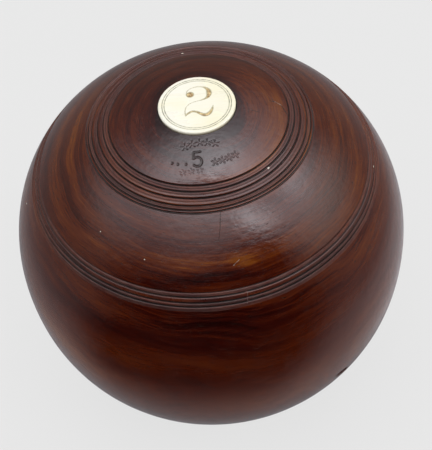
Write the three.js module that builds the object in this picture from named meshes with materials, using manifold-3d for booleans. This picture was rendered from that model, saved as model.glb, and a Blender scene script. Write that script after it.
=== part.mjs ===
// Wooden lawn bowl: a block turned from dense wood, with a small engraved disc let into each side.
// Millimetres. Z is the turning axis. The bowl stands on the face of its lower disc, at z = 0.
import * as THREE from 'three';
import { mergeVertices } from 'three/addons/utils/BufferGeometryUtils.js';
import Module from 'manifold-3d';

const wasm = await Module();
wasm.setup();

// Turned block: the running sole is its widest circle, and each side is a crown that rises from it.
const soleRadius = 63.5;
const biasCrownHeight = 60.9;
const plainCrownHeight = 60.3;
const crownExponent = 2.13;

// Bands of turned grooves, alike on both sides, with a bead of its own width between each two grooves.
// The inner band starts past a smooth land round the larger disc, the outer one at an angle from Z.
const innerLandWidth = 8.1;
const innerBandBeads = [1.5, 1.9, 1.9, 1.3];
const outerBandAngle = 50;
const outerBandBeads = [1.5, 1.5, 1.15, 1.05];
const grooveWidth = 0.6;
const grooveDepth = 0.6;

// Discs: the small one marks the side that the bowl curves towards, and the large one the other side.
const biasDiscRadius = 10.9;
const plainDiscRadius = 17.5;
const discThickness = 3.2;
const biasDiscStand = 0.8;
const plainDiscStand = 0.5;
const discRimRound = 0.45;
const discClearance = 0.2;

// Cement bed between a disc and the floor of its recess.
const cementThickness = 0.4;
const cementInset = 0.5;
const seatGap = 0.05;

// Two turned lines near each disc's edge, and the colour in them.
const outerLineInset = 1.2;
const lineSpacing = 0.6;
const lineWidth = 0.28;
const lineDepth = 0.3;
const fillClearance = 0.04;
const fillSink = 0.06;

// Engraved numeral: its height, its place on the disc and the depth of the cut.
const biasNumeralHeight = 12.3;
const plainNumeralHeight = 18;
const numeralOffsetX = 0.6;
const numeralOffsetY = 0.75;
const numeralDepth = 0.5;
const pocketOverrun = 0.5;

// Fineness of the round shapes.
const bodySegments = 60;
const discSegments = 48;
const crownStep = 7;
const rimSteps = 3;
const strokeSteps = 28;
const ballSegments = 12;
const weldDistance = 1e-4;

const biasSide = {
  crownHeight: biasCrownHeight,
  discRadius: biasDiscRadius,
  discStand: biasDiscStand,
  numeralHeight: biasNumeralHeight,
};
const plainSide = {
  crownHeight: plainCrownHeight,
  discRadius: plainDiscRadius,
  discStand: plainDiscStand,
  numeralHeight: plainNumeralHeight,
};

// A crown is the curve (r / soleRadius)^n + (z / crownHeight)^n = 1, with z measured from the sole.
function crownHeightAt(side, radius) {
  const rest = 1 - (radius / soleRadius) ** crownExponent;
  return side.crownHeight * rest ** (1 / crownExponent);
}

// The crown's point at an angle from the axis, sunk towards the bowl's middle by a depth.
function crownPoint(side, angle, depth = 0) {
  const across = (Math.sin(angle) / soleRadius) ** crownExponent;
  const along = (Math.cos(angle) / side.crownHeight) ** crownExponent;
  const reach = (across + along) ** (-1 / crownExponent) - depth;
  return new THREE.Vector2(reach * Math.sin(angle), reach * Math.cos(angle));
}

function angleAtRadius(side, radius) {
  return Math.atan2(radius, crownHeightAt(side, radius));
}

// Levels of a side's disc, its cement and its recess, measured from the sole.
for (const side of [biasSide, plainSide]) {
  side.recessRadius = side.discRadius + discClearance;
  side.mouthHeight = crownHeightAt(side, side.recessRadius);
  side.faceHeight = side.mouthHeight + side.discStand;
  side.discBottom = side.faceHeight - discThickness;
  side.cementTop = side.discBottom - seatGap;
  side.cementBottom = side.cementTop - cementThickness;
  side.recessFloor = side.cementBottom - seatGap;
  side.lineRadii = [side.discRadius - outerLineInset, side.discRadius - outerLineInset - lineSpacing];
}

// Plain crown between two angles, in even steps of about crownStep, without its first point.
function crownRun(side, fromAngle, toAngle) {
  const steps = Math.max(1, Math.round(((toAngle - fromAngle) * soleRadius) / crownStep));
  const points = [];
  for (let step = 1; step <= steps; step += 1) {
    points.push(crownPoint(side, fromAngle + ((toAngle - fromAngle) * step) / steps));
  }
  return points;
}

// Angles of a band's grooves, laid off along the crown from the first one.
function grooveAngles(side, firstAngle, beads) {
  const angles = [firstAngle];
  for (const bead of beads) {
    const last = angles[angles.length - 1];
    angles.push(last + bead / crownPoint(side, last).length());
  }
  return angles;
}

function sideProfile(side) {
  const points = [
    new THREE.Vector2(0, side.recessFloor),
    new THREE.Vector2(side.recessRadius, side.recessFloor),
    new THREE.Vector2(side.recessRadius, side.mouthHeight),
  ];
  const bands = [
    grooveAngles(side, angleAtRadius(side, plainDiscRadius + innerLandWidth), innerBandBeads),
    grooveAngles(side, THREE.MathUtils.degToRad(outerBandAngle), outerBandBeads),
  ];
  let angle = angleAtRadius(side, side.recessRadius);
  for (const band of bands) {
    for (const groove of band) {
      const halfGroove = grooveWidth / 2 / crownPoint(side, groove).length();
      points.push(...crownRun(side, angle, groove - halfGroove));
      points.push(crownPoint(side, groove, grooveDepth));
      points.push(crownPoint(side, groove + halfGroove));
      angle = groove + halfGroove;
    }
  }
  points.push(...crownRun(side, angle, Math.PI / 2));
  return points;
}

// Solids: a lathe turns a profile of (radius, height) round Z.
function turned(profile, segments) {
  const geometry = new THREE.LatheGeometry(profile, segments);
  geometry.rotateX(Math.PI / 2);
  return geometry;
}

function toSolid(geometry) {
  const bare = geometry.clone();
  bare.deleteAttribute('normal');
  bare.deleteAttribute('uv');
  const merged = mergeVertices(bare, weldDistance);
  const corners = [];
  const index = merged.index.array;
  for (let i = 0; i < index.length; i += 3) {
    const [a, b, c] = [index[i], index[i + 1], index[i + 2]];
    if (a !== b && b !== c && c !== a) {
      corners.push(a, b, c);
    }
  }
  return new wasm.Manifold(new wasm.Mesh({
    numProp: 3,
    vertProperties: new Float32Array(merged.attributes.position.array),
    triVerts: new Uint32Array(corners),
  }));
}

function toGeometry(solid) {
  const mesh = solid.getMesh();
  const geometry = new THREE.BufferGeometry();
  geometry.setAttribute('position', new THREE.BufferAttribute(new Float32Array(mesh.vertProperties), 3));
  geometry.setIndex(new THREE.BufferAttribute(new Uint32Array(mesh.triVerts), 1));
  geometry.computeVertexNormals();
  return geometry;
}

function bodyGeometry() {
  const upper = sideProfile(biasSide);
  const lower = sideProfile(plainSide).map((point) => new THREE.Vector2(point.x, -point.y));
  upper.pop();
  return turned([...lower, ...upper.reverse()], bodySegments);
}

// Disc: flat faces, a rounded rim, and two turned lines in the face.
function discGeometry(side) {
  const top = side.faceHeight;
  const profile = [
    new THREE.Vector2(0, side.discBottom),
    new THREE.Vector2(side.discRadius, side.discBottom),
  ];
  for (let step = 0; step <= rimSteps; step += 1) {
    const turn = (step / rimSteps) * (Math.PI / 2);
    profile.push(new THREE.Vector2(
      side.discRadius - discRimRound * (1 - Math.cos(turn)),
      top - discRimRound * (1 - Math.sin(turn)),
    ));
  }
  for (const radius of side.lineRadii) {
    const [outer, inner] = [radius + lineWidth / 2, radius - lineWidth / 2];
    profile.push(new THREE.Vector2(outer, top), new THREE.Vector2(outer, top - lineDepth));
    profile.push(new THREE.Vector2(inner, top - lineDepth), new THREE.Vector2(inner, top));
  }
  profile.push(new THREE.Vector2(0, top));
  const pocket = numeralSolid(side, 0, top - numeralDepth, numeralDepth + pocketOverrun);
  return toGeometry(toSolid(turned(profile, discSegments)).subtract(pocket));
}

function lineFillGeometry(side, radius) {
  const outer = radius + lineWidth / 2 - fillClearance;
  const inner = radius - lineWidth / 2 + fillClearance;
  const bottom = side.faceHeight - lineDepth + fillClearance;
  const top = side.faceHeight - fillSink;
  const profile = [[inner, bottom], [outer, bottom], [outer, top], [inner, top], [inner, bottom]];
  return turned(profile.map(([r, z]) => new THREE.Vector2(r, z)), discSegments);
}

function cementGeometry(side) {
  const radius = side.discRadius - cementInset;
  const profile = [[0, side.cementBottom], [radius, side.cementBottom], [radius, side.cementTop], [0, side.cementTop]];
  return turned(profile.map(([r, z]) => new THREE.Vector2(r, z)), discSegments);
}

// The numeral 2 as an engraver draws it, in units of its height: a ball, a hairline that swells into
// the bowl and thins again to the foot, and a waved foot. Each stroke point is x, y, width.
const numeralBall = { x: -0.175, y: 0.254, radius: 0.095 };
const numeralStrokes = [
  [
    [-0.258, 0.265, 0.026], [-0.232, 0.375, 0.022], [-0.138, 0.45, 0.022], [0, 0.486, 0.024],
    [0.125, 0.462, 0.036], [0.228, 0.382, 0.085], [0.262, 0.262, 0.128], [0.232, 0.142, 0.096],
    [0.135, 0.064, 0.044], [0, 0.03, 0.024], [-0.17, -0.016, 0.022], [-0.285, -0.12, 0.022],
    [-0.33, -0.26, 0.024], [-0.322, -0.39, 0.03],
  ],
  [
    [-0.33, -0.41, 0.02], [-0.26, -0.33, 0.055], [-0.16, -0.282, 0.062], [-0.06, -0.32, 0.066],
    [0.03, -0.39, 0.088], [0.125, -0.432, 0.104], [0.22, -0.38, 0.096], [0.285, -0.27, 0.06],
    [0.316, -0.16, 0.016],
  ],
];

// A stroke's outline: its centre line offset to both sides by half of a width that follows the points.
function strokeShape(stroke, height, inset) {
  const line = new THREE.SplineCurve(stroke.map(([x, y]) => new THREE.Vector2(x * height, y * height)));
  const swell = new THREE.SplineCurve(stroke.map((point, i) => new THREE.Vector2(i, point[2] * height)));
  const left = [];
  const right = [];
  for (let step = 0; step <= strokeSteps; step += 1) {
    const at = step / strokeSteps;
    const centre = line.getPoint(at);
    const along = line.getTangent(at);
    const half = swell.getPoint(at).y / 2 - inset;
    left.push(new THREE.Vector2(centre.x - along.y * half, centre.y + along.x * half));
    right.push(new THREE.Vector2(centre.x + along.y * half, centre.y - along.x * half));
  }
  return new THREE.Shape([...right, ...left.reverse()]);
}

// The whole numeral as one solid, on its place on the disc, each edge drawn in by the inset.
function numeralSolid(side, inset, bottom, thickness) {
  const height = side.numeralHeight;
  const ball = new THREE.Shape();
  ball.absarc(numeralBall.x * height, numeralBall.y * height, numeralBall.radius * height - inset, 0, Math.PI * 2);
  const outlines = [ball, ...numeralStrokes.map((stroke) => strokeShape(stroke, height, inset))];
  let solid = null;
  for (const outline of outlines) {
    const geometry = new THREE.ExtrudeGeometry(outline, {
      depth: thickness,
      bevelEnabled: false,
      curveSegments: ballSegments,
    });
    geometry.translate(numeralOffsetX, numeralOffsetY, bottom);
    const piece = toSolid(geometry);
    solid = solid ? solid.add(piece) : piece;
  }
  return solid;
}

function numeralFillGeometry(side) {
  const bottom = side.faceHeight - numeralDepth + seatGap;
  return toGeometry(numeralSolid(side, fillClearance, bottom, side.faceHeight - fillSink - bottom));
}

// Finishes.
const wood = new THREE.MeshStandardMaterial({ color: 0x4a2014, roughness: 0.35, metalness: 0 });
const ivory = new THREE.MeshStandardMaterial({ color: 0xf1ead2, roughness: 0.3, metalness: 0 });
const cement = new THREE.MeshStandardMaterial({ color: 0x2b2018, roughness: 0.8, metalness: 0 });
const numeralColour = new THREE.MeshStandardMaterial({ color: 0xb58b4c, roughness: 0.7, metalness: 0 });
const lineColour = new THREE.MeshStandardMaterial({ color: 0x6a6552, roughness: 0.7, metalness: 0 });

function piece(name, geometry, material) {
  const mesh = new THREE.Mesh(geometry, material);
  mesh.name = name;
  return mesh;
}

function discGroup(prefix, side) {
  const group = new THREE.Group();
  group.add(piece(`${prefix}_disc`, discGeometry(side), ivory));
  group.add(piece(`${prefix}_disc_cement`, cementGeometry(side), cement));
  group.add(piece(`${prefix}_numeral_fill`, numeralFillGeometry(side), numeralColour));
  group.add(piece(`${prefix}_outer_line_fill`, lineFillGeometry(side, side.lineRadii[0]), lineColour));
  group.add(piece(`${prefix}_inner_line_fill`, lineFillGeometry(side, side.lineRadii[1]), lineColour));
  return group;
}

// Assembly, with the sole's plane lifted so that the bowl stands on the lower disc.
const bowl = new THREE.Group();
bowl.add(piece('bowl_body', bodyGeometry(), wood));
bowl.add(discGroup('bias', biasSide));
const lowerGroup = discGroup('plain', plainSide);
lowerGroup.rotation.x = Math.PI;
bowl.add(lowerGroup);
bowl.position.z = plainSide.faceHeight;

export default bowl;
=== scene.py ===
import math

import bpy
import numpy as np
from mathutils import Matrix, Vector


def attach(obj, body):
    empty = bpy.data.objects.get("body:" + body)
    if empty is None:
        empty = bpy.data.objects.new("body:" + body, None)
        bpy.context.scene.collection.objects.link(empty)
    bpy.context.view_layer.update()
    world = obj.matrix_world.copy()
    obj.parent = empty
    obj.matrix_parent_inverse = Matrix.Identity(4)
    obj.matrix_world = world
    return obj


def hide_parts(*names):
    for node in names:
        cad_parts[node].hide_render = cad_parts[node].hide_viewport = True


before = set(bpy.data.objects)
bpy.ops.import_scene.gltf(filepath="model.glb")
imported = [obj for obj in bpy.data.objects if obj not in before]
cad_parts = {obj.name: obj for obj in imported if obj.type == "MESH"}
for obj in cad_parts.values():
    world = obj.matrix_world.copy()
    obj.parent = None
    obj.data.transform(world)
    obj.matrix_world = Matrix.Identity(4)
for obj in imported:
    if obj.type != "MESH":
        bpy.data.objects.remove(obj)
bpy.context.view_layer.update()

millimetre = 0.001


# Sizes read from the frame

crown = {
    "exponent": 2.13,      # 2 would be an ellipse, a little more gives fuller shoulders
    "arcSamples": 4000,
    "slack": 0.01,         # points of the frame closer than this lie on one level or one circle
}


def nodePoints(name):
    # The corners of a node of the frame, in millimetres.
    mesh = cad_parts[name].data
    points = np.empty(len(mesh.vertices) * 3)
    mesh.vertices.foreach_get("co", points)
    return points.reshape(-1, 3) / millimetre


def crownPoint(side, angle):
    # The crown is (r / R)^n + (h / H)^n = 1, here in polar form by the angle from the axis.
    n = crown["exponent"]
    reach = ((np.sin(angle) / side["soleRadius"]) ** n
             + (np.cos(angle) / side["crownHeight"]) ** n) ** (-1 / n)
    return reach * np.sin(angle), reach * np.cos(angle)


def crownAtArc(side, arc):
    # Radius and height at an arc, and the outward normal of the profile there.
    n = crown["exponent"]
    radius, height = crownPoint(side, np.interp(arc, side["arcs"], side["angles"]))
    across = np.maximum(radius, 0) ** (n - 1) / side["soleRadius"] ** n
    along = np.maximum(height, 0) ** (n - 1) / side["crownHeight"] ** n
    length = np.hypot(across, along)
    return radius, height, across / length, along / length


def arcAtRadius(side, radius):
    # The crown's formula solved for the height at this radius; the angle then gives the arc.
    n = crown["exponent"]
    height = side["crownHeight"] * (1 - (radius / side["soleRadius"]) ** n) ** (1 / n)
    return np.interp(math.atan2(radius, height), side["angles"], side["arcs"])


def readSide(prefix, direction, soleRadius, soleLevel):
    # Heights of a side are measured outwards from the sole's plane, along its own direction. The
    # crown's height at the pole is worked out from its height at the edge of the recess.
    def levels(name):
        heights = (nodePoints(name)[:, 2] - soleLevel) * direction
        return heights.min(), heights.max()

    body = nodePoints("bowl_body")
    heights = (body[:, 2] - soleLevel) * direction
    mouth = heights.max()
    recessRadius = np.hypot(body[:, 0], body[:, 1])[heights > mouth - crown["slack"]].max()
    share = 1 - (recessRadius / soleRadius) ** crown["exponent"]
    side = {
        "prefix": prefix,
        "direction": direction,
        "soleRadius": soleRadius,
        "soleLevel": soleLevel,
        "crownHeight": mouth / share ** (1 / crown["exponent"]),
        "recessRadius": recessRadius,
        "mouth": mouth,
        "discRadius": nodePoints(prefix + "_disc")[:, 0].max(),
        "cementBottom": levels(prefix + "_disc_cement")[0],
    }
    side["discBottom"], side["face"] = levels(prefix + "_disc")
    side["angles"] = np.linspace(0, math.pi / 2, crown["arcSamples"])
    radius, height = crownPoint(side, side["angles"])
    side["arcs"] = np.append(0, np.cumsum(np.hypot(np.diff(radius), np.diff(height))))
    return side


bodyPoints = nodePoints("bowl_body")
bodyRadii = np.hypot(bodyPoints[:, 0], bodyPoints[:, 1])
soleRadius = bodyRadii.max()
soleLevel = bodyPoints[bodyRadii > soleRadius - crown["slack"], 2].mean()
biasSide = readSide("bias", 1, soleRadius, soleLevel)
plainSide = readSide("plain", -1, soleRadius, soleLevel)
print("frame read: sole radius %.2f at height %.2f, crowns %.2f and %.2f"
      % (soleRadius, soleLevel, biasSide["crownHeight"], plainSide["crownHeight"]))


# Helpers for shapes

def smooth(low, high, value):
    # 0 below low, 1 above high and an easy curve between; with low above high it falls.
    share = np.clip((value - low) / (high - low), 0, 1)
    return share * share * (3 - 2 * share)


def hill(distance, width):
    # A rounded hill of height 1 that ends at the width.
    return np.clip(1 - (distance / width) ** 2, 0, 1) ** 2


def turnFrom(azimuth, centre):
    # The shorter way round from the centre to the azimuth, in degrees, with its sign.
    return np.remainder(azimuth - centre + 180, 360) - 180


def roundLength(degrees, radius):
    # Degrees round the axis as a length on the circle of this radius.
    return degrees * radius * math.pi / 180


def latticeValue(cell, seed):
    # The fraction of a large sine of the cell's numbers, which is as good as random.
    mixed = np.sin(cell @ np.array([12.9898, 78.233, 37.719]) + seed * 5.13) * 43758.5453
    return mixed - np.floor(mixed)


def valueNoise(points, size, seed):
    # Random values on a cubic lattice, blended smoothly between its corners, from -1 to 1.
    scaled = points / size
    cell = np.floor(scaled)
    part = scaled - cell
    part = part * part * (3 - 2 * part)
    total = np.zeros(points.shape[:-1])
    for corner in range(8):
        step = np.array([corner & 1, corner >> 1 & 1, corner >> 2 & 1])
        share = np.prod(np.where(step == 1, part, 1 - part), axis=-1)
        total += share * latticeValue(cell + step, seed)
    return total * 2 - 1


def splineThrough(points, steps):
    # Catmull-Rom curve through the points, with the first and the last one doubled.
    points = np.asarray(points, float)
    padded = np.concatenate([points[:1], points, points[-1:]])
    at = np.linspace(0, len(points) - 1, steps + 1)
    first = np.minimum(at.astype(int), len(points) - 2)
    t = (at - first)[:, None]
    before, start, end, after = (padded[first + k] for k in range(4))
    return 0.5 * (2 * start + (end - before) * t
                  + (2 * before - 5 * start + 4 * end - after) * t ** 2
                  + (3 * start - before - 3 * end + after) * t ** 3)


def strokeDistance(x, y, path):
    # Signed distance to a stroke of x, y, half width: the least one to its tapered segments.
    best = np.full(np.shape(x), 1e9)
    for (ax, ay, aw), (bx, by, bw) in zip(path[:-1], path[1:]):
        dx, dy = bx - ax, by - ay
        t = np.clip(((x - ax) * dx + (y - ay) * dy) / (dx * dx + dy * dy), 0, 1)
        away = np.hypot(x - ax - t * dx, y - ay - t * dy)
        best = np.minimum(best, away - aw - t * (bw - aw))
    return best


def evenRun(start, end, step):
    # Even steps from start, without the end.
    return np.linspace(start, end, max(1, round(abs(end - start) / step)), endpoint=False)


def columnAngles(count, patches=()):
    # Azimuths once round from the back, laid off evenly along the integral of a density that is
    # higher in each patch: its centre, its half width and how many times closer its columns lie.
    # Outside its half width a patch fades away over another 0.3 of it.
    fine = np.linspace(-180, 180, 360 * 20 + 1)
    density = np.ones_like(fine)
    for centre, half, crowding in patches:
        density += (crowding - 1) * smooth(half * 1.3, half, np.abs(fine - centre))
    total = np.append(0, np.cumsum((density[1:] + density[:-1]) / 2))
    return np.interp(np.arange(count) / count * total[-1], total, fine)


def ringFaces(first, second, count):
    # Quads between two rings of the same count, given by the numbers of their first points.
    here = np.arange(count)
    ahead = (here + 1) % count
    return np.stack([first + here, second + here, second + ahead, first + ahead], axis=1)


def stitchFaces(first, firstAngles, second, secondAngles):
    # Triangles between two rings of different counts that start at the same azimuth: each one
    # goes along the ring whose next point comes first.
    firstNext = np.append(firstAngles[1:], firstAngles[0] + 360)
    secondNext = np.append(secondAngles[1:], secondAngles[0] + 360)
    i = np.arange(len(firstAngles))
    j = np.arange(len(secondAngles))
    reachedSecond = np.searchsorted(secondNext, firstNext, side="right") % len(j)
    reachedFirst = np.searchsorted(firstNext, secondNext, side="left") % len(i)
    alongFirst = [first + i, second + reachedSecond, first + (i + 1) % len(i)]
    alongSecond = [first + reachedFirst, second + j, second + (j + 1) % len(j)]
    return np.concatenate([np.stack(alongFirst, axis=1), np.stack(alongSecond, axis=1)])


def turnedFaces(zones):
    # Faces of a turned shape that starts and ends in a pole. Each zone between is a count of
    # rings and the azimuths of their columns.
    quads, triangles = [], []
    start = 1
    for place, (rings, columns) in enumerate(zones):
        count = len(columns)
        here = np.arange(count)
        if place == 0:
            ahead = start + (here + 1) % count
            triangles.append(np.stack([np.zeros_like(here), start + here, ahead], axis=1))
        else:
            lastCount = len(zones[place - 1][1])
            lastRing = start - lastCount
            if lastCount == count:
                quads.append(ringFaces(lastRing, start, count))
            else:
                triangles.append(stitchFaces(lastRing, zones[place - 1][1], start, columns))
        for ring in range(rings - 1):
            quads.append(ringFaces(start + ring * count, start + (ring + 1) * count, count))
        start += rings * count
    here = np.arange(count)
    ahead = start - count + (here + 1) % count
    triangles.append(np.stack([np.full(count, start), ahead, start - count + here], axis=1))
    return [np.concatenate(quads), np.concatenate(triangles)]


def newPiece(name, points, faceSets, stoodFor, attributes=None):
    # A mesh from arrays: points, and for each kind of face an array of its corner numbers.
    corners = np.concatenate([faces.ravel() for faces in faceSets])
    counts = np.concatenate([np.full(len(faces), faces.shape[1]) for faces in faceSets])
    mesh = bpy.data.meshes.new(name)
    mesh.vertices.add(len(points))
    mesh.vertices.foreach_set("co", (points * millimetre).ravel())
    mesh.loops.add(len(corners))
    mesh.loops.foreach_set("vertex_index", corners.astype(np.int32))
    mesh.polygons.add(len(counts))
    mesh.polygons.foreach_set("loop_start", (np.cumsum(counts) - counts).astype(np.int32))
    mesh.update(calc_edges=True)
    mesh.shade_smooth()
    for label, values in (attributes or {}).items():
        stored = mesh.attributes.new(label, "FLOAT", "POINT")
        stored.data.foreach_set("value", np.asarray(values, np.float32).ravel())
    piece = bpy.data.objects.new(name, mesh)
    bpy.context.scene.collection.objects.link(piece)
    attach(piece, "root")
    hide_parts(*stoodFor)
    print("%s: %d triangles" % (name, int((counts - 2).sum())))
    return piece


# The turned wooden body

bands = {
    # arc of each groove from the pole, and its depth
    "inner": [(26.15, 0.46), (27.85, 0.40), (29.68, 0.46), (31.70, 0.42), (32.88, 0.42), (33.74, 0.34)],
    "outer": [(54.72, 0.20), (56.03, 0.40), (57.55, 0.42), (58.72, 0.36), (59.95, 0.0)],
    # for each bead: the share of its width where it is split in two parts, and how dull each is
    "innerBeads": [(0.52, 0.9, 0.9), (0.44, 0.9, 0.0), (0.48, 0.9, 0.0), (0.50, 0.9, 0.8),
                   (0.05, 0.0, 0.0)],
    "outerBeads": [(0.05, 1.0, 1.0), (0.05, 0.35, 0.35), (0.05, 0.9, 0.9), (0.05, 0.9, 0.9)],
    "leastSplit": 0.1,         # a split nearer the bead's edge than this has no fine line
    "splitStep": 0.04,         # half the width of the step down to the shelf, as a share of the bead
    "innerSpan": (25.6, 34.2),  # arcs between which a band has its own fine mesh
    "outerSpan": (54.2, 60.3),
    "outerFade": 0.8,          # the outermost bead runs out into the crown over this distance
    "shelf": 0.07,             # how much lower the part next to the pole lies
    "grooveHalf": 0.30,
    "grooveFloor": 0.08,       # half width of a groove's floor
    "darkeningDepths": (0.05, 0.3),  # groove depths where the darkening starts and is full, partly dirt and partly painted shade
    "innerCrown": 0.075,       # how much lower a part's edges lie than its crest
    "outerCrown": 0.05,
    "lineDepth": 0.11,         # the fine line
    "lineHalf": 0.15,
    # the fine line is darkened this much: partly dirt, partly painted shade
    "lineGrime": 0.7,
    "wander": 0.05,            # how far the tool strayed, and over what distance
    "wanderSize": 14.0,
    "depthChange": 0.22,       # share by which the depths change round the bowl
    "dustySide": (45, 45),     # azimuth and half width where a band is duller, and by what share
    "innerDustier": -0.6,
    "outerDustier": 0.5,
}

stamp = {
    "numeralAt": (-1.75, -18.3),
    "numeralHeight": 4.5,
    # the numeral's flag and stem, in units of its height, then its round part as a stretch of an
    # ellipse: centre, half width, half height, turn it starts and ends at, points
    "flag": [(0.27, 0.47), (-0.15, 0.47), (-0.2, 0.08)],
    "round": (0.02, -0.16, 0.28, 0.3, 128, -142, 19),
    "strokeHalf": 0.15,
    "numeralWeight": 1.75,     # how much wider the numeral's stroke is
    "depth": 0.24,
    "edge": 0.14,              # how far in from its edge a stroke has its full depth
    "grime": 0.7,              # how dirty a full stroke is, and the depths where that starts and is full
    "darkeningDepths": (0.03, 0.2),
    # a rosette's strokes: their count, the first one's turn, where they start, widths at both ends
    "petals": (5, 18, 0.3, 0.7, 1.1),
    "upperRow": {"count": 5, "across": 8.2, "x": -0.44, "y": -13.3, "droop": 0.045, "size": 1.15,
                 "force": 0.7},
    "lowerRow": {"count": 3, "across": 4.6, "x": -3.5, "y": -21.6, "droop": 0.0, "size": 0.8,
                 "force": 0.5},
    "rightRow": {"count": 4, "radius": 19.9, "from": 9.0, "to": 26.0, "size": 1.0, "force": 0.8},
    "dots": [(-8.4, -18.3), (-6.9, -18.9), (-4.7, -19.3)],
    "dotRadius": 0.36,
    "dotForce": 0.8,
    "reach": 24.5,             # no stroke lies further out than this radius, or beyond this y
    "nearest": -9.0,
}

marks = {
    # wood broken out of the lower half; its edge is ragged and its floor uneven
    "chip": {"arc": 87.2, "azimuth": 34.7, "length": 3.0, "width": 1.9, "turn": 28, "depth": 1.1,
             "ragged": 0.25, "raggedSize": 0.9, "wall": 0.55, "floor": 0.8, "uneven": 0.3,
             "unevenSize": 0.7, "meshReach": 2.5},
    # a narrow place where the outer band's grooves are nearly filled
    "bridge": {"azimuth": 8.4, "from": 55.6, "to": 59.2, "halfWidth": 0.3, "filled": 0.85},
    # arc, azimuth, radius and depth
    "dents": [(45.2, 9.2, 0.9, 0.06), (15.2, 76.8, 0.8, 0.10), (21.4, 93.3, 0.7, 0.08),
              (38.0, -33.0, 0.7, 0.05), (71.0, -20.0, 1.4, 0.07), (66.5, 52.0, 1.0, 0.06),
              (47.5, 62.0, 0.8, 0.05), (80.0, -62.0, 1.6, 0.08), (43.0, -150.0, 1.3, 0.07),
              (78.0, 130.0, 1.8, 0.09), (63.0, 170.0, 1.2, 0.06), (90.0, -110.0, 1.5, 0.08)],
    "dentGrime": 4,            # for each millimetre of depth
    "wave": 0.018,             # the crown's slow waves, and how wide they are
    "waveSize": 9.0,
}


figure = {
    "base": 0.48,
    "bend": 2.2,               # how far the streaks stray from circles, and over what distance
    "bendSize": 15.0,
    # walk from the upper pole over the sole and half width, azimuth and half angle, and how much
    # lighter the wood is
    "streaks": [
        (15, 12, 0, 90, -0.34), (21, 8, -20, 70, -0.16), (18, 12, -110, 90, -0.22),
        (18, 10, 165, 50, -0.14), (19, 10, 84, 60, 0.22), (24, 3, 82, 26, 0.16),
        # The dark ring all round at 12.6, next to the upper disc, is painted shade round the raised disc.
        (21, 7, 42, 40, 0.26), (12.6, 2.6, 0, 400, -0.36), (38, 8, 5, 60, -0.08),
        (42, 16, 108, 60, 0.24), (42, 14, -112, 45, 0.20), (40, 14, 78, 40, 0.06),
        (44, 2.2, 70, 38, -0.14), (39, 1.8, 84, 34, -0.12), (36.5, 1.6, 70, 40, -0.12),
        (44, 3.4, -58, 26, 0.10), (47, 2.6, -38, 22, 0.22), (48.6, 2.4, -14, 16, 0.12),
        (50.0, 2.2, -6, 14, 0.20), (56.8, 0.9, 0, 60, 0.25), (48.4, 3.0, 9.0, 7, 0.46),
        (48.5, 3.0, 26, 22, 0.16), (44.5, 2.4, -30, 16, -0.12), (52.0, 3.4, 0, 50, -0.32),
        (52.8, 2.6, -18, 22, -0.14), (62.5, 4, 0, 45, -0.12), (50.5, 2.6, 62, 26, 0.16),
        (46.5, 2.0, 56, 20, -0.14), (64, 14, 0, 52, -0.24), (68, 5, -12, 26, -0.12),
        (73, 4, 14, 22, -0.12), (61.5, 2.0, -20, 30, 0.08), (66, 18, 88, 45, 0.22),
        (66, 18, -85, 40, 0.24), (62, 4, 46, 26, 0.16), (63, 3.5, -46, 22, 0.14),
        (70, 2.5, 40, 30, -0.12), (71, 3, -50, 26, -0.10), (76, 3, 4, 40, 0.10),
        (94, 20, 26, 50, 0.12), (92, 22, -50, 45, 0.30), (92, 20, 62, 50, 0.20),
        (84, 3, -26, 34, -0.12), (88, 4, 30, 30, -0.10), (84, 9, 0, 45, -0.14),
        (67, 6, -36, 24, -0.10), (29.5, 6, 180, 80, -0.14), (27.0, 1.7, 50, 55, -0.35),
        (57.3, 4, 55, 48, -0.28), (41, 7, -85, 30, 0.10), (88, 14, -45, 40, 0.12),
        (104, 12, 0, 70, 0.14), (110, 10, -60, 50, -0.12), (76, 12, 172, 46, -0.16),
        (88, 16, 138, 40, 0.16), (96, 12, -138, 44, -0.12), (60, 8, -168, 40, 0.14),
        (122, 14, 100, 70, 0.16), (130, 12, -100, 80, -0.16), (146, 12, 20, 90, 0.16),
        (150, 10, 176, 70, -0.14), (166, 10, -70, 80, 0.14), (170, 10, 90, 70, -0.16),
    ],
}


def woodTone(walk, azimuth, points):
    # Each streak is a hill along the walk times a hill round the axis, added to the base. The walk
    # is bent first by a slow noise, because growth rings are never quite round.
    bent = walk + figure["bend"] * valueNoise(points, figure["bendSize"], 71)
    tone = np.full_like(walk, figure["base"])
    for place, half, centre, reach, shift in figure["streaks"]:
        around = np.abs(turnFrom(azimuth, centre))
        tone += shift * hill(bent - place, half) * hill(around, reach)
    return tone


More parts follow.
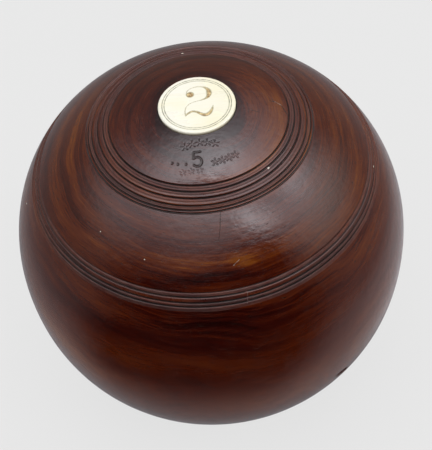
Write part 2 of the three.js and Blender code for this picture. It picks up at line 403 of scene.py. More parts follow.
def bandDepth(arc, points, name, seed):
    # Each groove is a steep-walled trough. Between two of them the bead is split in two parts by a
    # fine line. Along a part v runs from 0 to 1, and it falls away to its edges as (2v - 1)^2.
    # Gives the depth, the darkening of the grooves and the fine lines, which is partly dirt and partly
    # painted shade, and how dull the place is.
    places = np.array([place for place, _ in bands[name]])
    splits = np.array(bands[name + "Beads"])
    place = arc + bands["wander"] * valueNoise(points, bands["wanderSize"], seed)
    k = np.clip(np.searchsorted(places, place) - 1, 0, len(places) - 2)
    split, dullFirst, dullSecond = splits[k, 0], splits[k, 1], splits[k, 2]
    u = (place - places[k]) / (places[k + 1] - places[k])
    inside = (u > 0) & (u < 1)
    first = u < split
    v = np.where(first, u / split, (u - split) / (1 - split))
    line = hill(place - places[k] - split * (places[k + 1] - places[k]), bands["lineHalf"])
    line = line * inside * (split > bands["leastSplit"])
    depth = bands[name + "Crown"] * (2 * v - 1) ** 2 * inside
    shelf = smooth(split + bands["splitStep"], split - bands["splitStep"], u)
    depth += bands["shelf"] * shelf * inside + bands["lineDepth"] * line
    if name == "outer":
        depth *= smooth(places[-1], places[-1] - bands["outerFade"], place)
    change = 1 + bands["depthChange"] * valueNoise(points, bands["wanderSize"] / 2, seed + 1)
    trough = np.zeros_like(arc)
    for groove, full in bands[name]:
        away = np.abs(place - groove)
        trough = np.maximum(trough, full * smooth(bands["grooveHalf"], bands["grooveFloor"], away))
    # Grooves and fine lines are darkened by their depth: partly dirt, partly painted shade in the hollows.
    grime = np.maximum(smooth(*bands["darkeningDepths"], trough), bands["lineGrime"] * line)
    dull = np.where(first, dullFirst, dullSecond) * inside
    return (depth + trough) * change, grime, dull


def rosette(x, y, size):
    # Short strokes that run out from a middle and thicken, as a small punch leaves them.
    count, firstTurn, start, thin, thick = stamp["petals"]
    half = stamp["strokeHalf"]
    strokes = []
    for turn in np.radians(np.arange(count) * 360 / count + firstTurn):
        inner, outer = size * start, size
        strokes.append([(x + inner * math.cos(turn), y + inner * math.sin(turn), half * thin),
                        (x + outer * math.cos(turn), y + outer * math.sin(turn), half * thick)])
    return strokes


def dot(x, y, radius, half):
    # A stroke of next to no length.
    return [(x - half, y, radius), (x + half, y, radius)]


def stampStrokes():
    # Strokes in plan, each with how hard it was struck.
    x, y = stamp["numeralAt"]
    height = stamp["numeralHeight"]
    half = stamp["strokeHalf"] * stamp["numeralWeight"]
    middleX, middleY, across, up, start, end, count = stamp["round"]
    turns = np.radians(np.linspace(start, end, count))
    outline = stamp["flag"] + [(middleX + across * math.cos(turn), middleY + up * math.sin(turn))
                               for turn in turns]
    strokes = [([(x + px * height, y + py * height, half) for px, py in outline], 1.0)]
    for name in ("upperRow", "lowerRow"):
        row = stamp[name]
        for across in np.linspace(-0.5, 0.5, row["count"]) * row["across"]:
            place = (row["x"] + across, row["y"] - row["droop"] * across ** 2)
            strokes += [(path, row["force"]) for path in rosette(*place, row["size"])]
    row = stamp["rightRow"]
    for azimuth in np.radians(np.linspace(row["from"], row["to"], row["count"])):
        place = (row["radius"] * math.sin(azimuth), -row["radius"] * math.cos(azimuth))
        strokes += [(path, row["force"]) for path in rosette(*place, row["size"])]
    for dotX, dotY in stamp["dots"]:
        strokes.append((dot(dotX, dotY, stamp["dotRadius"], 0.01), stamp["dotForce"]))
    return strokes


def stampDepth(x, y):
    # The deepest of the strokes at each place. A stroke's wall runs from just outside its edge to
    # its full depth further in.
    depth = np.zeros_like(x)
    near = (np.hypot(x, y) < stamp["reach"]) & (y < stamp["nearest"])
    for path, force in stampStrokes():
        away = strokeDistance(x[near], y[near], path)
        struck = stamp["depth"] * force * smooth(stamp["edge"] / 2, -stamp["edge"], away)
        depth[near] = np.maximum(depth[near], struck)
    return depth


def upperMarks(azimuth, arc, radius, points, depth, grime):
    # The bridged grooves, the punched marks and the dents. Each dent is a round hill turned down.
    bridge = marks["bridge"]
    across = np.abs(roundLength(azimuth - bridge["azimuth"], radius))
    bridged = hill(across, bridge["halfWidth"] * 2) * (arc > bridge["from"]) * (arc < bridge["to"])
    depth = depth * (1 - bridge["filled"] * bridged)
    grime = grime * (1 - bridged)
    struck = stampDepth(points[..., 0], points[..., 1])
    depth = depth + struck
    grime = np.maximum(grime, smooth(*stamp["darkeningDepths"], struck) * stamp["grime"])
    for dentArc, dentAzimuth, size, dentDepth in marks["dents"]:
        across = roundLength(turnFrom(azimuth, dentAzimuth), radius)
        dent = hill(np.hypot(arc - dentArc, across), size)
        depth = depth + dentDepth * dent
        grime = np.maximum(grime, dent * dentDepth * marks["dentGrime"])
    return depth, grime


def lowerMarks(azimuth, arc, radius, points, depth, grime):
    # The chip is an ellipse, turned in the surface, whose distance is made ragged by a noise.
    chip = marks["chip"]
    across = roundLength(azimuth - chip["azimuth"], radius)
    along = chip["arc"] - arc
    turn = math.radians(chip["turn"])
    ahead = across * math.cos(turn) + along * math.sin(turn)
    beside = along * math.cos(turn) - across * math.sin(turn)
    away = np.hypot(ahead / chip["length"], beside / chip["width"])
    away += chip["ragged"] * valueNoise(points, chip["raggedSize"], 41)
    broken = smooth(1.0, chip["wall"], away)
    uneven = chip["floor"] + chip["uneven"] * valueNoise(points, chip["unevenSize"], 43)
    return depth + chip["depth"] * broken * uneven, np.maximum(grime, broken)


def crownZone(side, arcs, columns):
    # One zone of the crown, rings by columns: its points, each sunk along the crown's normal by
    # the depth of what is cut there, and its attributes.
    arc, azimuth = np.meshgrid(arcs, columns, indexing="ij")
    radius, height, outRadius, outHeight = crownAtArc(side, arc)
    sine, cosine = np.sin(np.radians(azimuth)), -np.cos(np.radians(azimuth))
    level = side["soleLevel"] + side["direction"] * height
    points = np.stack([radius * sine, radius * cosine, level], axis=-1)
    upper = side is biasSide
    seed = 3 if upper else 23
    dustyAt, dustyHalf = bands["dustySide"]
    depth, grime, dull, bandShare = 0, 0, 0, 0
    for name, shift in (("inner", 0), ("outer", 7)):
        first, last = bands[name][0][0], bands[name][-1][0]
        cut, dirt, dullness = bandDepth(arc, points, name, seed + shift)
        depth = depth + cut
        grime = np.maximum(grime, dirt)
        dull = dull + dullness * (1 + bands[name + "Dustier"] * hill(azimuth - dustyAt, dustyHalf))
        half = bands["grooveHalf"]
        bandShare = bandShare + smooth(first - half, first, arc) * smooth(last + half, last, arc)
    addMarks = upperMarks if upper else lowerMarks
    depth, grime = addMarks(azimuth, arc, radius, points, depth, grime)
    waves = 1 + valueNoise(points, marks["waveSize"], seed + 11)
    depth += marks["wave"] * waves * (bandShare < 0.5)
    points[..., 0] -= depth * outRadius * sine
    points[..., 1] -= depth * outRadius * cosine
    points[..., 2] -= depth * outHeight * side["direction"]
    walk = arc if upper else biasSide["arcs"][-1] + plainSide["arcs"][-1] - arc
    tone = woodTone(walk, azimuth, points)
    return points, {"grime": grime, "dull": dull, "band": bandShare, "walk": walk, "tone": tone}


recess = {
    "floorDrop": 0.05,         # the recess is this much deeper than the cement
    "corner": 0.03,
    "wallRing": 0.4,           # rings stand this far from the corner on both sides
    "lip": 0.12,               # radius of the rounded lip
    "lipTurns": (0, 30, 60),
    "crownStart": 0.14,        # the crown's first ring lies this far outside the wall
}

belts = {
    # step between rings, columns, and where these lie closer: azimuth, half width, how many times
    "land": (0.17, 250, [(0, 32, 6)]),
    "upperInner": (0.11, 240, []),
    "upperMiddle": (1.0, 200, []),
    "upperOuter": (0.11, 288, [(8.4, 3, 3)]),
    "waist": (2.0, 240, [(34.6, 5, 4)]),
    "chip": (0.3, 240, [(34.6, 5, 4)]),
    "lowerBand": (0.19, 220, []),
    "lowerMiddle": (1.4, 200, []),
    "lowerLand": (1.0, 200, []),
}


def recessFloor(side):
    return side["cementBottom"] - recess["floorDrop"]


def recessZone(side, columns):
    # The recess as a profile from its floor up its wall to the rounded lip, turned round the axis.
    radius, lip, floor = side["recessRadius"], recess["lip"], recessFloor(side)
    corner, ring = recess["corner"], recess["wallRing"]
    profile = [(radius * 0.5, floor), (radius - ring, floor), (radius - corner, floor),
               (radius, floor + corner), (radius, floor + ring), (radius, side["mouth"] - lip * 3)]
    for turn in np.radians(recess["lipTurns"]):
        profile.append((radius + lip * (1 - math.cos(turn)),
                        side["mouth"] - lip * (1 - math.sin(turn))))
    profile = np.array(profile)
    spread = np.radians(columns)
    x = profile[:, :1] * np.sin(spread)
    y = -profile[:, :1] * np.cos(spread)
    z = side["soleLevel"] + side["direction"] * profile[:, 1:] + 0 * x
    points = np.stack([x, y, z], axis=-1)
    blank = np.zeros(points.shape[:2])
    # The whole recess, with the lip round the disc, is darkened fully: painted shade in the gap round the
    # raised disc, and dirt.
    return points, {"grime": blank + 1, "dull": blank, "band": blank, "walk": blank, "tone": blank}


def makeBody():
    # Zones from the upper recess over the crown and the sole to the lower recess, each a grid of
    # rings by columns, with a pole at either end.
    innerLow, innerHigh = bands["innerSpan"]
    outerLow, outerHigh = bands["outerSpan"]
    chipArc, chipReach = marks["chip"]["arc"], marks["chip"]["meshReach"]
    upperEdge, lowerEdge = (arcAtRadius(side, side["recessRadius"] + recess["crownStart"])
                            for side in (biasSide, plainSide))
    # for each side the arc it starts at, then the belts in turn with the arc each one ends at
    routes = [
        (biasSide, upperEdge,
         [("land", innerLow), ("upperInner", innerHigh), ("upperMiddle", outerLow),
          ("upperOuter", outerHigh), ("waist", biasSide["arcs"][-1])]),
        (plainSide, plainSide["arcs"][-1],
         [("waist", chipArc + chipReach), ("chip", chipArc - chipReach), ("waist", outerHigh),
          ("lowerBand", outerLow), ("lowerMiddle", innerHigh), ("lowerBand", innerLow),
          ("lowerLand", lowerEdge)]),
    ]
    columns = [columnAngles(*belts["land"][1:])]
    zones = [recessZone(biasSide, columns[0])]
    for side, start, stops in routes:
        for belt, end in stops:
            step, count, patches = belts[belt]
            columns.append(columnAngles(count, patches))
            zones.append(crownZone(side, evenRun(start, end, step), columns[-1]))
            start = end
    columns.append(columns[-1])
    points, attributes = recessZone(plainSide, columns[-1])
    zones.append((points[::-1], {label: values[::-1] for label, values in attributes.items()}))
    poles = [np.array([[0, 0, side["soleLevel"] + side["direction"] * recessFloor(side)]])
             for side in (biasSide, plainSide)]
    points = poles[:1] + [zone[0].reshape(-1, 3) for zone in zones] + poles[1:]
    attributes = {}
    for label in ("grime", "dull", "band", "walk", "tone"):
        values = [zone[1][label].ravel() for zone in zones]
        attributes[label] = np.concatenate([[0.0]] + values + [[0.0]])
    faces = turnedFaces([(len(zone[0]), angles) for zone, angles in zip(zones, columns)])
    return newPiece("turnedBody", np.concatenate(points), faces, ["bowl_body"], attributes)


# The engraved discs and the colour in their cuts

numeral = {
    "ball": (-0.175, 0.254, 0.095),
    # x, y and width of the strokes, in units of the numeral's height
    "strokes": [
        [(-0.258, 0.265, 0.026), (-0.232, 0.375, 0.022), (-0.138, 0.45, 0.022), (0, 0.486, 0.024),
         (0.125, 0.462, 0.036), (0.228, 0.382, 0.085), (0.262, 0.262, 0.128), (0.232, 0.142, 0.096),
         (0.135, 0.064, 0.044), (0, 0.03, 0.024), (-0.17, -0.016, 0.022), (-0.285, -0.12, 0.022),
         (-0.33, -0.26, 0.024), (-0.322, -0.39, 0.03)],
        [(-0.33, -0.41, 0.02), (-0.26, -0.33, 0.055), (-0.16, -0.282, 0.062), (-0.06, -0.32, 0.066),
         (0.03, -0.39, 0.088), (0.125, -0.432, 0.104), (0.22, -0.38, 0.096), (0.285, -0.27, 0.06),
         (0.316, -0.16, 0.016)],
    ],
    "leastWidth": 0.012,
    "steps": 44,
    "slope": 1.25,             # of a cut's wall where it is steepest
    "depth": 0.44,
    "frameInset": 0.04,        # the frame's colour stands this far in from the cut's edge
    "margin": 0.4,             # how far the fine mesh and the grid reach beyond the numeral
    "gridMargin": 0.3,
    # the colour in the cut: how far in from its edge it stands, how much it bulges and over what
    # way, its grain, and its least thickness
    "colourInset": 0.07,
    "bulge": (0.05, 0.3),
    "grain": (0.012, 0.35),
    "thinnest": 0.03,
    "gridStep": (0.045, 8.3),  # step of the colour's grid, on a numeral that reaches this far out
    "snap": 0.6,               # grid points closer to the outline than this share of a step go onto it
}

disc = {
    "rimRound": 0.45,
    "rimSteps": 8,
    "edgeRing": 0.4,           # a ring this far below the rounded rim
    "backCorner": [(0, 0.3), (0.1, 0.06), (0.3, 0)],  # in from the edge, and up from the back
    "lineHalf": 0.14,          # half width of the two turned lines
    "lineDepth": 0.24,
    "lineWall": 0.1,           # the way from a line's edge in to its full depth
    "lineInset": 0.1,          # the frame's line colour reaches this far out from the line's middle
    "fillSink": 0.05,          # how far the colour lies under the face, and over the cut's floor
    "fillGap": 0.02,
    # the mesh of the face: columns of its four zones, how many rings reach the numeral's end, the
    # shares of that way where the columns get closer, and the ring steps out to the rim
    "columns": (60, 200, 480, 240),
    "numeralRings": 105,
    "zoneShares": (0.15, 0.4),
    "lineMargins": (0.35, 0.3),
    "outerSteps": (0.3, 0.035, 0.12),
    # how stained a numeral's cut is, how much more so in its middle, and how stained a line is, and
    # for each the distances from the edge between which it sets in
    "stains": (0.8, 0.2, 0.6),
    "stainRuns": [(0.1, -0.05), (0.12, 0.3), (0.08, -0.05)],
    "edgeBrown": (0.3, 0.9),   # how far below the face the edge starts to brown, and is brown
    "grimeColumns": 300,
    "grimeInset": 0.03,        # clearance between the grime and a line's wall
}


def numeralPaths():
    # The strokes as smooth curves of x, y and half width, and the ball as a dot.
    paths = []
    for stroke in numeral["strokes"]:
        path = splineThrough(stroke, numeral["steps"])
        path[:, 2] = np.maximum(path[:, 2], numeral["leastWidth"]) / 2
        paths.append(path)
    paths.append(np.array(dot(*numeral["ball"], 0.001)))
    return paths


def placeNumeral(side):
    # Its height and its middle come from the frame's own colour solid.
    paths = numeralPaths()
    outline = np.concatenate(paths)
    low = (outline[:, :2] - outline[:, 2:]).min(axis=0)
    high = (outline[:, :2] + outline[:, 2:]).max(axis=0)
    solid = nodePoints(side["prefix"] + "_numeral_fill")[:, :2] * [1, side["direction"]]
    height = (np.ptp(solid[:, 1]) + 2 * numeral["frameInset"]) / (high[1] - low[1])
    middle = (solid.min(axis=0) + solid.max(axis=0)) / 2 - (low + high) / 2 * height
    margin = numeral["gridMargin"]
    side["paths"] = [path * height + [middle[0], middle[1], 0] for path in paths]
    side["numeralReach"] = np.hypot(solid[:, 0], solid[:, 1]).max() + numeral["margin"]
    side["numeralBox"] = (solid.min(axis=0) - margin, solid.max(axis=0) + margin)
    side["lines"] = sorted(nodePoints(side["prefix"] + name)[:, 0].max() - disc["lineInset"]
                           for name in ("_inner_line_fill", "_outer_line_fill"))


def numeralDistance(side, x, y):
    # The least of the signed distances to its strokes, below 0 inside.
    best = np.full(np.shape(x), 1e9)
    for path in side["paths"]:
        best = np.minimum(best, strokeDistance(x, y, path))
    return best


def cutDepth(away):
    # A graver's cut: an easy curve from the edge down to the full depth, at the slope's pace.
    return numeral["depth"] * smooth(0, numeral["depth"] / numeral["slope"] * 1.5, -away)


def toFrame(side, x, y, height):
    # The lower side is the upper one turned over about X, so its faces still point outwards.
    turn = side["direction"]
    return np.stack([x, y * turn, side["soleLevel"] + height * turn], axis=-1)


def ringPlaces(radii, azimuth):
    # Where rings of these radii lie in plan, at azimuths in radians.
    return radii * np.sin(azimuth), -radii * np.cos(azimuth)


def discProfile(side):
    # The disc from its face round the rim and down its edge to the back: radius and height.
    radius, face, bottom, rim = side["discRadius"], side["face"], side["discBottom"], disc["rimRound"]
    turns = np.radians(np.linspace(0, 90, disc["rimSteps"])[1:])
    profile = [(radius - rim * (1 - math.sin(turn)), face - rim * (1 - math.cos(turn))) for turn in turns]
    profile += [(radius, face - rim - disc["edgeRing"]), (radius, (face + bottom) / 2)]
    profile += [(radius - inset, bottom + lift) for inset, lift in disc["backCorner"]]
    return np.array(profile + [(radius * 0.5, bottom)])


def makeDisc(side):
    # The face from its middle outwards, sunk by the cuts, then the rim, the edge and the back.
    face, bottom = side["face"], side["discBottom"]
    reach, flatEnd = side["numeralReach"], side["discRadius"] - disc["rimRound"]
    inner, outer = side["lines"]
    step = reach / disc["numeralRings"]
    coarse, fair, fine, rest = (columnAngles(count) for count in disc["columns"])
    coarseEnd, fairEnd = (reach * share for share in disc["zoneShares"])
    before, beyond = disc["lineMargins"]
    plainStep, lineStep, rimStep = disc["outerSteps"]
    outerRun = np.concatenate([evenRun(reach, inner - before, plainStep),
                               evenRun(inner - before, outer + beyond, lineStep),
                               evenRun(outer + beyond, flatEnd, rimStep), [flatEnd]])
    facing = [(evenRun(step * 2, coarseEnd, step * 2), coarse), (evenRun(coarseEnd, fairEnd, step), fair),
              (evenRun(fairEnd, reach, step), fine), (outerRun, rest)]
    cutStain, middleStain, lineStain = disc["stains"]
    cutRun, middleRun, lineRun = disc["stainRuns"]
    points = [toFrame(side, np.zeros(1), np.zeros(1), np.full(1, face))]
    masks = [np.zeros((1, 2))]
    zones = []
    for radii, columns in facing:
        ring, azimuth = np.meshgrid(radii, np.radians(columns), indexing="ij")
        x, y = ringPlaces(ring, azimuth)
        away = numeralDistance(side, x, y)
        lineAway = np.minimum(np.abs(ring - inner), np.abs(ring - outer)) - disc["lineHalf"]
        depth = cutDepth(away) + disc["lineDepth"] * smooth(0, -disc["lineWall"], lineAway)
        stain = smooth(*cutRun, away) * (cutStain + middleStain * smooth(*middleRun, -away))
        stain = np.maximum(stain, lineStain * smooth(*lineRun, lineAway))
        points.append(toFrame(side, x, y, face - depth).reshape(-1, 3))
        masks.append(np.stack([stain, 0 * stain], axis=-1).reshape(-1, 2))
        zones.append((len(radii), columns))
    profile = discProfile(side)
    x, y = ringPlaces(profile[:, :1], np.radians(rest))
    points.append(toFrame(side, x, y, profile[:, 1:] + 0 * x).reshape(-1, 3))
    brownStart, brownFull = disc["edgeBrown"]
    edge = smooth(face - brownStart, face - brownFull, profile[:, 1:]) + 0 * x
    masks.append(np.stack([0 * edge, edge], axis=-1).reshape(-1, 2))
    zones.append((len(profile), rest))
    points.append(toFrame(side, np.zeros(1), np.zeros(1), np.full(1, bottom)))
    masks.append(np.zeros((1, 2)))
    masks = np.concatenate(masks)
    points = np.concatenate(points)
    return newPiece(side["prefix"] + "EngravedDisc", points, turnedFaces(zones),
                    [side["prefix"] + "_disc"], {"stain": masks[:, 0], "edge": masks[:, 1]})


def makeNumeralColour(side):
    # A grid over the numeral. Points near the outline are drawn onto it, cells inside it are kept,
    # and the kept cells get a top, an underside and walls between.
    gridStep, gridReach = numeral["gridStep"]
    step = gridStep * side["numeralReach"] / gridReach
    low, high = side["numeralBox"]
    x, y = np.meshgrid(np.arange(low[0], high[0], step), np.arange(low[1], high[1], step), indexing="ij")
    away = numeralDistance(side, x, y) + numeral["colourInset"]
    slopeX, slopeY = np.gradient(away, step)
    slope = np.maximum(np.hypot(slopeX, slopeY), 0.3)
    near = np.abs(away) < numeral["snap"] * step
    x = np.where(near, x - away * slopeX / slope ** 2, x)
    y = np.where(near, y - away * slopeY / slope ** 2, y)
    kept = near | (away < 0)
    cells = kept[:-1, :-1] & kept[1:, :-1] & kept[1:, 1:] & kept[:-1, 1:]
    numbers = np.arange(x.size).reshape(x.shape)
    corners = [numbers[:-1, :-1], numbers[1:, :-1], numbers[1:, 1:], numbers[:-1, 1:]]
    top = np.stack([corner[cells] for corner in corners], axis=1)
    padded = np.pad(cells, 1)
    walls = []
    for (dx, dy), (a, b) in {(0, -1): (0, 1), (1, 0): (1, 2), (0, 1): (2, 3), (-1, 0): (3, 0)}.items():
        bare = cells & ~padded[1 + dx:1 + dx + cells.shape[0], 1 + dy:1 + dy + cells.shape[1]]
        start, end = corners[a][bare], corners[b][bare]
        walls.append(np.stack([start, start + x.size, end + x.size, end], axis=1))
    bulge, bulgeWay = numeral["bulge"]
    grain, grainSize = numeral["grain"]
    upper = side["face"] - disc["fillSink"] - bulge * smooth(0, bulgeWay, -away)
    upper += grain * valueNoise(np.stack([x, y, 0 * x], axis=-1), grainSize, 61)
    floor = side["face"] - cutDepth(away - numeral["colourInset"]) + disc["fillGap"]
    under = np.minimum(floor, upper - numeral["thinnest"])
    points = np.concatenate([toFrame(side, x, y, level).reshape(-1, 3) for level in (upper, under)])
    faces = np.concatenate([top, top[:, ::-1] + x.size] + walls)
    used, faces = np.unique(faces, return_inverse=True)
    inward = np.concatenate([-away.ravel(), -away.ravel()])[used]
    return newPiece(side["prefix"] + "NumeralColour", points[used], [faces.reshape(-1, 4)],
                    [side["prefix"] + "_numeral_fill"], {"inward": inward})


def makeLineGrime(side, name, middle):
    # A ring of grime in a turned line: a small rounded section carried round the axis.
    half = disc["lineHalf"] - disc["grimeInset"]
    top = side["face"] - disc["fillSink"]
    bottom = side["face"] - disc["lineDepth"] + disc["fillGap"]
    wide, narrow = half * 0.8, half * 0.4
    middleLevel, floor, hollow = (top + bottom) / 2, bottom + 0.02, top - 0.03
    section = np.array([(-half, top), (-wide, middleLevel), (-narrow, floor), (0, bottom),
                        (narrow, floor), (wide, middleLevel), (half, top), (narrow, hollow),
                        (-narrow, hollow)])
    count = disc["grimeColumns"]
    spread, turn = np.meshgrid(section[:, 0], np.radians(columnAngles(count)), indexing="ij")
    x, y = ringPlaces(middle + spread, turn)
    points = toFrame(side, x, y, section[:, 1:] + 0 * x).reshape(-1, 3)
    faces = np.concatenate([ringFaces((ring + 1) % len(section) * count, ring * count, count)
                            for ring in range(len(section))])
    return newPiece(side["prefix"] + name.capitalize() + "LineGrime", points, [faces],
                    ["%s_%s_line_fill" % (side["prefix"], name)])


pieces = {"wood": [makeBody()], "disc": [], "numeral": [], "line": [], "cement": []}
for side in (biasSide, plainSide):
    placeNumeral(side)
    pieces["disc"].append(makeDisc(side))
    pieces["numeral"].append(makeNumeralColour(side))
    for name, middle in zip(("inner", "outer"), side["lines"]):
        pieces["line"].append(makeLineGrime(side, name, middle))
    pieces["cement"].append(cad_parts[side["prefix"] + "_disc_cement"])
print("pieces made")


# Helpers for materials

def wire(tree, value, socket):
    # A socket is linked, and a plain value is set.
    if isinstance(value, bpy.types.NodeSocket):
        tree.links.new(value, socket)
    elif value is not None:
        socket.default_value = value


def addNode(tree, kind, inputs=None, **settings):
    # A node with its settings made and its sockets wired.
    made = tree.nodes.new("ShaderNode" + kind)
    for name, value in settings.items():
        setattr(made, name, value)
    for name, value in (inputs or {}).items():
        wire(tree, value, made.inputs[name])
    return made


def calc(tree, operation, first, second=None, third=None):
    made = addNode(tree, "Math", operation=operation)
    for place, value in enumerate((first, second, third)):
        wire(tree, value, made.inputs[place])
    return made.outputs[0]


def addShare(tree, value, share, total):
    # The value times its share, added to the total.
    return calc(tree, "MULTIPLY_ADD", value, share, total)


def vectorCalc(tree, operation, first, second=None):
    made = addNode(tree, "VectorMath", operation=operation)
    wire(tree, first, made.inputs[0])
    wire(tree, second, made.inputs[1])
    return made.outputs["Value" if operation in ("LENGTH", "DISTANCE", "DOT_PRODUCT") else "Vector"]


def scaled(tree, vector, factor):
    # The vector times a number.
    made = addNode(tree, "VectorMath", {0: vector}, operation="SCALE")
    wire(tree, factor, made.inputs["Scale"])
    return made.outputs[0]


def between(tree, value, low, high, toLow=0.0, toHigh=1.0):
    # An easy curve from one level to the other as the value goes from low to high.
    made = addNode(tree, "MapRange", {"Value": value, "From Min": low, "From Max": high,
                                      "To Min": toLow, "To Max": toHigh},
                   interpolation_type="SMOOTHSTEP")
    return made.outputs[0]


def blend(tree, share, first, second):
    # The first colour, and as much of the second one as the share says.
    made = addNode(tree, "Mix", data_type="RGBA", blend_type="MIX", clamp_factor=True)
    wire(tree, share, made.inputs[0])
    wire(tree, first, made.inputs[6])
    wire(tree, second, made.inputs[7])
    return made.outputs[2]


def noise(tree, vector, scale, detail=2.0, roughness=0.5, w=None):
    # The scale holds for the fourth direction too.
    made = addNode(tree, "TexNoise", {"Vector": vector, "Scale": scale, "Detail": detail,
                                      "Roughness": roughness},
                   noise_dimensions="3D" if w is None else "4D")
    if w is not None:
        wire(tree, w, made.inputs["W"])
    return made.outputs[0]


def newGroup(name, inputs, outputs):
    # A shader node group. Inputs are name: (socket kind, value), outputs are name: socket kind.
    tree = bpy.data.node_groups.new(name, "ShaderNodeTree")
    for label, (kind, value) in inputs.items():
        socket = tree.interface.new_socket(label, in_out="INPUT", socket_type="NodeSocket" + kind)
        if value is not None:
            socket.default_value = value
    for label, kind in outputs.items():
        tree.interface.new_socket(label, in_out="OUTPUT", socket_type="NodeSocket" + kind)
    return tree, tree.nodes.new("NodeGroupInput").outputs, tree.nodes.new("NodeGroupOutput").inputs


def useGroup(tree, group, **inputs):
    made = tree.nodes.new("ShaderNodeGroup")
    made.node_tree = group
    for name, value in inputs.items():
        wire(tree, value, made.inputs[name])
    return made.outputs


def attribute(tree, name):
    # A value that is stored in the points of the mesh.
    return addNode(tree, "Attribute", attribute_name=name).outputs["Fac"]


def millimetrePlace(tree):
    # Object coordinates in millimetres.
    place = addNode(tree, "TexCoord").outputs["Object"]
    return addNode(tree, "Mapping", {"Vector": place, "Scale": (1000, 1000, 1000)}).outputs[0]


def newMaterial(name):
    # A material, its tree and its Principled shader.
    material = bpy.data.materials.new(name)
    material.use_nodes = True
    tree = material.node_tree
    return material, tree, tree.nodes["Principled BSDF"]


def addRelief(tree, shader, height):
    # Fine relief: a height in millimetres turns the normal.
    relief = addNode(tree, "Bump", {"Height": height, "Distance": millimetre, "Strength": 1.0})
    wire(tree, relief.outputs[0], shader.inputs["Normal"])


def growthRingsGroup():
    # Rings are shells round a pith line that leans a little. Noise that runs fast across the
    # shells and slowly along them gives broad streaks, fine ones, hairs and short pores.
    tree, given, result = newGroup("growthRings", {
        "Place": ("Vector", None), "Pith": ("Vector", (0, 0, 0)), "Lean": ("Vector", (0, 0, 0)),
        "Warp": ("Float", 4.0),
    }, {"Broad": "Float", "Streaks": "Float", "Hairs": "Float", "Pores": "Float"})
    height = addNode(tree, "SeparateXYZ", {"Vector": given["Place"]}).outputs["Z"]
    centred = vectorCalc(tree, "SUBTRACT", vectorCalc(tree, "SUBTRACT", given["Place"], given["Pith"]),
                         scaled(tree, given["Lean"], height))
    # the shells are warped by a slow coloured noise, whose three parts shift them along X, Y and Z
    warp = addNode(tree, "TexNoise", {"Vector": given["Place"], "Scale": 0.035, "Detail": 2.0})
    shift = vectorCalc(tree, "SUBTRACT", warp.outputs[1], (0.5, 0.5, 0.5))
    bent = vectorCalc(tree, "ADD", centred, scaled(tree, shift, given["Warp"]))
    shell = vectorCalc(tree, "LENGTH", vectorCalc(tree, "MULTIPLY", bent, (1, 1, 0)))
    # how fast the noise changes along and across the shells, per millimetre, and its detail
    for name, along, across, detail in (("Broad", 0.012, 0.36, 1.0), ("Streaks", 0.022, 0.95, 2.0),
                                        ("Hairs", 0.06, 3.2, 1.0), ("Pores", 0.75, 4.2, 0.0)):
        outwards = calc(tree, "MULTIPLY", shell, across / along)
        wire(tree, noise(tree, given["Place"], along, detail, 0.6, outwards), result[name])
    return tree


def scratchesGroup():
    # The contour lines of a stretched noise are long thin curves; a second noise breaks them up.
    tree, given, result = newGroup("hairScratches", {
        "Place": ("Vector", None), "Turn": ("Vector", (0, 0, 0)), "Stretch": ("Vector", (0.03, 0.9, 0.9)),
        "Width": ("Float", 0.01), "Amount": ("Float", 0.55),
    }, {"Lines": "Float"})
    turned = addNode(tree, "Mapping", {"Vector": given["Place"], "Rotation": given["Turn"],
                                       "Scale": given["Stretch"]}).outputs[0]
    field = noise(tree, turned, 1.0, 1.0, 0.4)
    away = calc(tree, "ABSOLUTE", calc(tree, "SUBTRACT", field, 0.5))
    line = calc(tree, "SUBTRACT", 1.0, between(tree, away, 0.0, given["Width"]))
    broken = between(tree, noise(tree, given["Place"], 0.16, 1.0), given["Amount"],
                     calc(tree, "ADD", given["Amount"], 0.08))
    wire(tree, calc(tree, "MULTIPLY", line, broken), result["Lines"])
    return tree


def spotGroup():
    # A spot round a point: 1 inside, with an uneven edge.
    tree, given, result = newGroup("spot", {
        "Place": ("Vector", None), "Centre": ("Vector", (0, 0, 0)), "Radius": ("Float", 1.0),
        "Unevenness": ("Float", 0.3), "Softness": ("Float", 0.3),
    }, {"Mask": "Float"})
    ragged = calc(tree, "MULTIPLY", calc(tree, "SUBTRACT", noise(tree, given["Place"], 1.6), 0.5),
                  calc(tree, "MULTIPLY", given["Unevenness"], given["Radius"]))
    away = calc(tree, "ADD", vectorCalc(tree, "DISTANCE", given["Place"], given["Centre"]), ragged)
    inner = calc(tree, "MULTIPLY", given["Radius"], calc(tree, "SUBTRACT", 1.0, given["Softness"]))
    wire(tree, between(tree, away, given["Radius"], inner), result["Mask"])
    return tree


def scoreLineGroup():
    # A straight mark from one point to another: 1 along it, by the distance to the segment.
    tree, given, result = newGroup("scoreLine", {
        "Place": ("Vector", None), "Start": ("Vector", (0, 0, 0)), "End": ("Vector", (1, 0, 0)),
        "Width": ("Float", 0.2),
    }, {"Mask": "Float"})
    along = vectorCalc(tree, "SUBTRACT", given["End"], given["Start"])
    reach = vectorCalc(tree, "SUBTRACT", given["Place"], given["Start"])
    share = calc(tree, "DIVIDE", vectorCalc(tree, "DOT_PRODUCT", reach, along),
                 vectorCalc(tree, "DOT_PRODUCT", along, along))
    share = addNode(tree, "Clamp", {"Value": share}).outputs[0]
    away = vectorCalc(tree, "DISTANCE", reach, scaled(tree, along, share))
    shake = calc(tree, "MULTIPLY", noise(tree, given["Place"], 1.2), given["Width"])
    away = calc(tree, "ADD", away, shake)
    wire(tree, between(tree, away, calc(tree, "MULTIPLY", given["Width"], 1.4),
                       calc(tree, "MULTIPLY", given["Width"], 0.5)), result["Mask"])
    return tree


growthRings = growthRingsGroup()
hairScratches = scratchesGroup()
spot = spotGroup()
scoreLine = scoreLineGroup()


# Finishes

